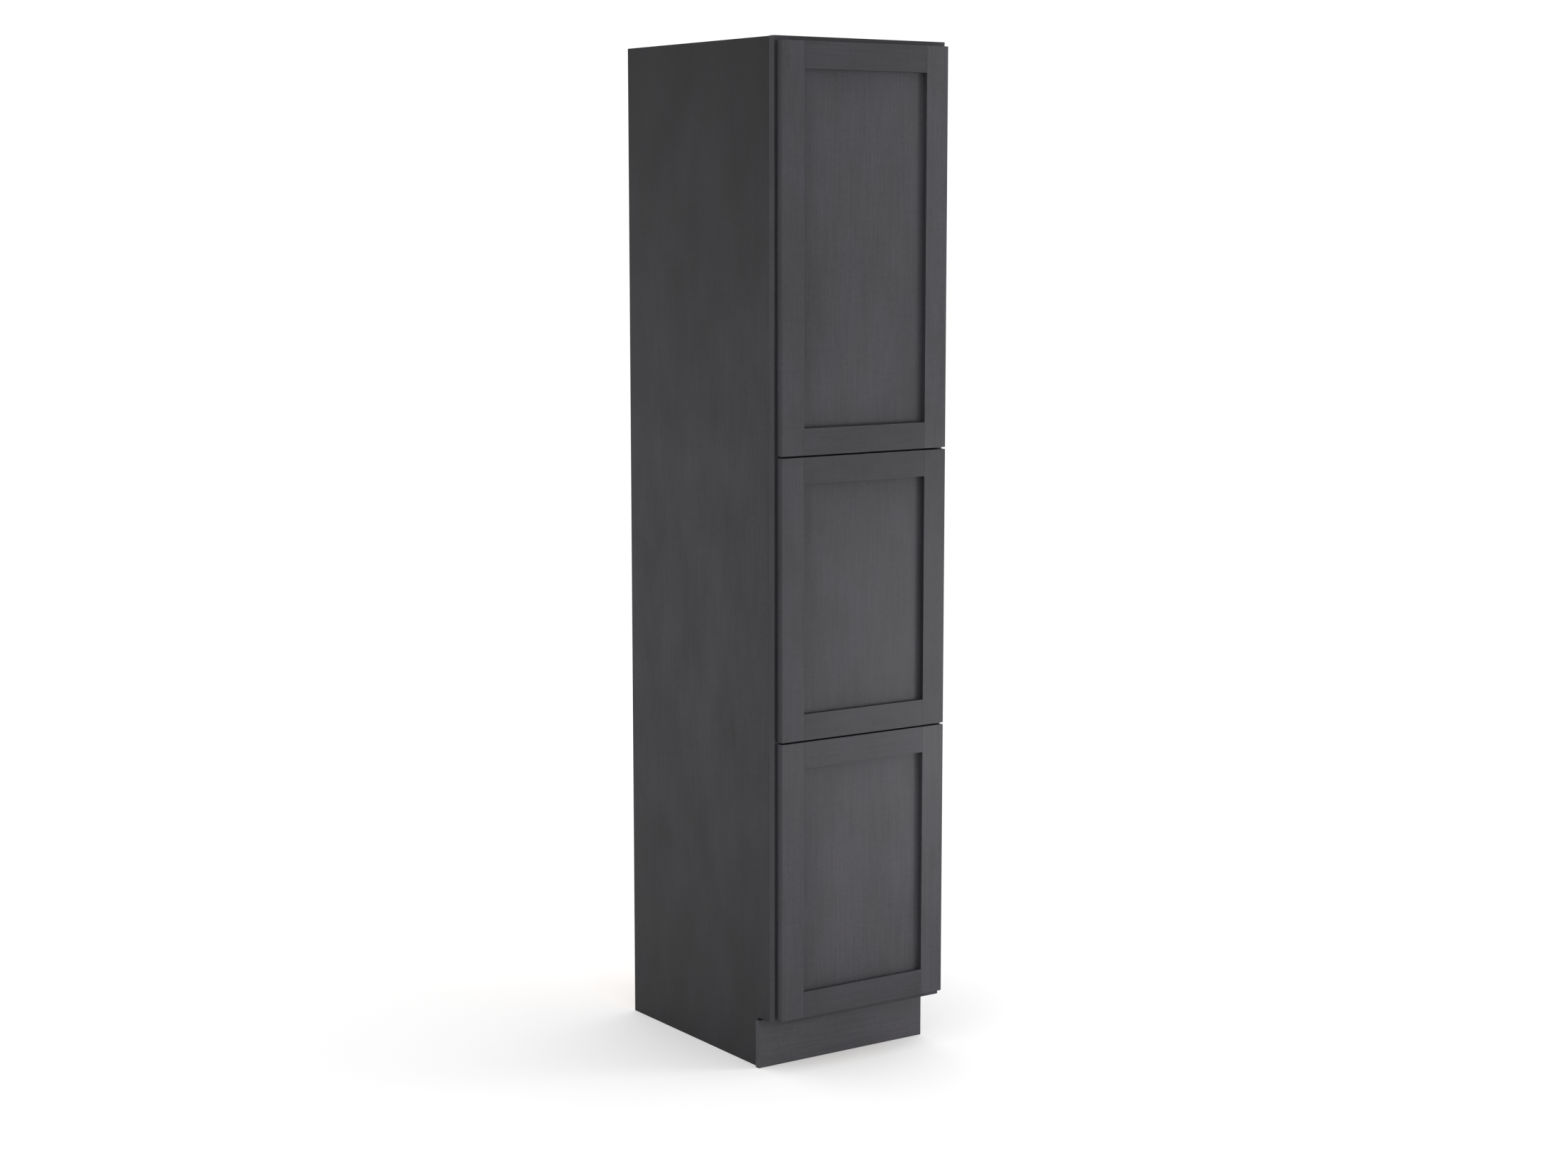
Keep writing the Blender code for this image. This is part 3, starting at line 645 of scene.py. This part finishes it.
def staple_crown():
    """The crown of a driven staple, along X, facing +Z."""
    bm = bmesh.new()
    end = [(STAPLE_RADIUS * out, -STAPLE_LENGTH / 2 * along) for out, along in STAPLE_END]
    other_end = [(radius, -at) for radius, at in reversed(end)]
    flat = Matrix.Diagonal((1, 1, STAPLE_FLATNESS, 1)) @ Matrix.Rotation(math.radians(90), 4, "Y")
    turned(bm, end + other_end, flat)
    return mesh_of(bm, "staple_crown")


def add(name, mesh, matrix, body, finish):
    """One piece of steel hardware, which moves with a body."""
    if not mesh.materials:
        mesh.materials.append(finish)
    obj = bpy.data.objects.new(name, mesh)
    bpy.context.scene.collection.objects.link(obj)
    obj.matrix_world = matrix
    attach(obj, body)


def facing(direction, place, spin):
    """The matrix that stands a piece's +Z along a direction, turned about it by the spin."""
    turn = Vector(direction).to_track_quat("Z", "Y").to_matrix().to_4x4()
    return Matrix.Translation(place) @ turn @ Matrix.Rotation(spin, 4, "Z")


def driven(direction, place):
    """The matrix of a screw that was left at a random turn. A cross recess repeats every quarter."""
    return facing(direction, place, rng.uniform(0, math.radians(90)))


def add_screws(door, end, heads, steel):
    """The screws of one hinge: two on the bracket, two on the cup's flange, two that adjust the arm."""
    arm_low, arm_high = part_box(f"{door}_hinge_arm_{end}")
    cup_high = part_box(f"{door}_hinge_cup_{end}")[1]
    frame_low, frame_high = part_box("face_frame_stile_right")
    middle = (arm_low.z + arm_high.z) / 2
    wing = (arm_high.x - BRACKET_THICKNESS - SEAT_GAP, (frame_low.y + frame_high.y) / 2)
    flange = (cup_high.x - CUP_RIM - CUP_RADIUS, cup_high.y + SEAT_GAP)
    for row, sign in (("lower", -1), ("upper", 1)):
        matrix = driven((-1, 0, 0), (*wing, middle + sign * BRACKET_SCREW_HEIGHT))
        add(f"{door}_bracket_screw_{end}_{row}", heads["bracket"], matrix, "cabinet", steel)
        matrix = driven((0, 1, 0), (*flange, middle + sign * CUP_SCREW_HEIGHT))
        add(f"{door}_cup_screw_{end}_{row}", heads["cup"], matrix, door, steel)
    for row, from_end in zip(("back", "front"), ADJUSTING_SCREWS_FROM_END):
        place = (arm_high.x - ARM_WIDTH - SEAT_GAP, arm_high.y - from_end, middle)
        matrix = driven((-1, 0, 0), place)
        add(f"{door}_adjusting_screw_{end}_{row}", heads["adjusting"], matrix, "cabinet", steel)


def add_all_screws(steel):
    heads = {
        "bracket": screw_head("bracket_screw", *BRACKET_SCREW),
        "cup": screw_head("cup_screw", *CUP_SCREW),
        "adjusting": screw_head("adjusting_screw", *ADJUSTING_SCREW),
    }
    for door in DOORS:
        for end in ("bottom", "top"):
            add_screws(door, end, heads, steel)


def add_shelf_pins(steel):
    mesh = shelf_pin()
    frame_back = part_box("face_frame_stile_left")[1].y
    deck_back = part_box("lower_deck")[1].y
    rows = {"front": frame_back + PIN_ROW_FROM_EDGE, "back": deck_back - PIN_ROW_FROM_EDGE}
    left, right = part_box("side_panel_left")[1].x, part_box("side_panel_right")[0].x
    for shelf in PINNED_SHELVES:
        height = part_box(shelf)[0].z - PIN_UNDER_SHELF
        for side, x, turn in (("left", left, 0.0), ("right", right, math.pi)):
            for row, y in rows.items():
                matrix = Matrix.Translation((x, y, height)) @ Matrix.Rotation(turn, 4, "Z")
                add(f"{shelf}_pin_{row}_{side}", mesh, matrix, "cabinet", steel)


def add_staples(zinc):
    """Staples that hold the back panel to the two decks."""
    mesh = staple_crown()
    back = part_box("back_panel")[1].y + STAPLE_RADIUS * STAPLE_FLATNESS + SEAT_GAP
    for deck in ("lower_deck", "upper_deck"):
        low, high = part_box(deck)
        for number in range(STAPLES_ACROSS):
            x = low.x + (high.x - low.x) * (number + 0.5) / STAPLES_ACROSS
            z = (low.z + high.z) / 2 + rng.uniform(-STAPLE_WANDER, STAPLE_WANDER)
            matrix = facing((0, 1, 0), (x, back, z), rng.uniform(-STAPLE_TILT, STAPLE_TILT))
            add(f"{deck}_staple_{number + 1}", mesh, matrix, "cabinet", zinc)


# Studio and camera


def make_floor(level):
    bm = bmesh.new()
    bmesh.ops.create_grid(bm, x_segments=2, y_segments=2, size=FLOOR_HALF_SIZE)
    mesh = mesh_of(bm, "studio_floor")
    floor = bpy.data.objects.new("studio_floor", mesh)
    bpy.context.scene.collection.objects.link(floor)
    floor.location.z = level - FLOOR_DROP
    graph = Graph("studio_floor_finish")
    colour = graph.mix(graph.pattern("floor_cloud"), FLOOR_LIGHT, FLOOR_DARK)
    glow = {"emission_color": (1.0, 1.0, 1.0), "emission_strength": FLOOR_GLOW}
    mesh.materials.append(graph.finish(colour, FLOOR_ROUGHNESS, specular_ior_level=0.0, **glow))


def make_sky():
    """A white horizon that dims a little towards the zenith."""
    world = bpy.data.worlds.new("studio_sky")
    world.use_nodes = True
    tree = world.node_tree
    place = tree.nodes.new("ShaderNodeTexCoord")
    split = tree.nodes.new("ShaderNodeSeparateXYZ")
    fade = tree.nodes.new("ShaderNodeMapRange")
    fade.interpolation_type = "SMOOTHSTEP"
    limits = (SKY_DIM_START, SKY_DIM_END, HORIZON_STRENGTH, ZENITH_STRENGTH)
    for key, value in zip(("From Min", "From Max", "To Min", "To Max"), limits):
        fade.inputs[key].default_value = value
    background = tree.nodes["Background"]
    background.inputs["Color"].default_value = (1, 1, 1, 1)
    tree.links.new(place.outputs["Generated"], split.inputs[0])
    tree.links.new(split.outputs["Z"], fade.inputs["Value"])
    tree.links.new(fade.outputs["Result"], background.inputs["Strength"])
    bpy.context.scene.world = world


def make_light(name, height, size, power, spread):
    """A soft rectangular light. A narrow spread keeps it to a pool on what it aims at."""
    data = bpy.data.lights.new(name, "AREA")
    data.shape = "RECTANGLE"
    data.size, data.size_y = size
    data.energy = power
    data.spread = spread
    light = bpy.data.objects.new(name, data)
    light.location = (*LIGHT_STAND, height)
    aim = Vector((*LIGHT_AIM, height)) - Vector((*LIGHT_STAND, height))
    light.rotation_euler = aim.to_track_quat("-Z", "Y").to_euler()
    bpy.context.scene.collection.objects.link(light)


def make_camera():
    data = bpy.data.cameras.new("camera")
    data.lens = CAMERA_LENS
    data.sensor_width = SENSOR_WIDTH
    camera = bpy.data.objects.new("camera", data)
    camera.location = CAMERA_PLACE
    camera.rotation_euler = (math.radians(90) - CAMERA_PITCH, 0, CAMERA_AZIMUTH)
    bpy.context.scene.collection.objects.link(camera)
    bpy.context.scene.camera = camera


rng = random.Random(SEED)
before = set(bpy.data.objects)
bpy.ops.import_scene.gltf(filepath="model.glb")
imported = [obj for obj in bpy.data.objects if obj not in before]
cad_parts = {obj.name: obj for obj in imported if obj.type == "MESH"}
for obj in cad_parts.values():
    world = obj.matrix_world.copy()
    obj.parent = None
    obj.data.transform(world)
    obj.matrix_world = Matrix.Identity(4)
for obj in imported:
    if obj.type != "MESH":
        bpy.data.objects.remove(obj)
cad_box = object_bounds()
steel_finish = plated_finish("nickel_steel_finish", NICKEL, NICKEL_STAINED)
zinc_finish = plated_finish("zinc_steel_finish", NICKEL, ZINC_YELLOW)
dress_packed_pieces(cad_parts, steel_finish, rubber_finish("clear_rubber_finish"))
add_all_screws(steel_finish)
add_shelf_pins(steel_finish)
add_staples(zinc_finish)
make_floor(cad_box[0].z)
make_sky()
for light_name, light_facts in LIGHTS.items():
    make_light(light_name, *light_facts)
make_camera()
bpy.context.scene.view_settings.view_transform = "Standard"
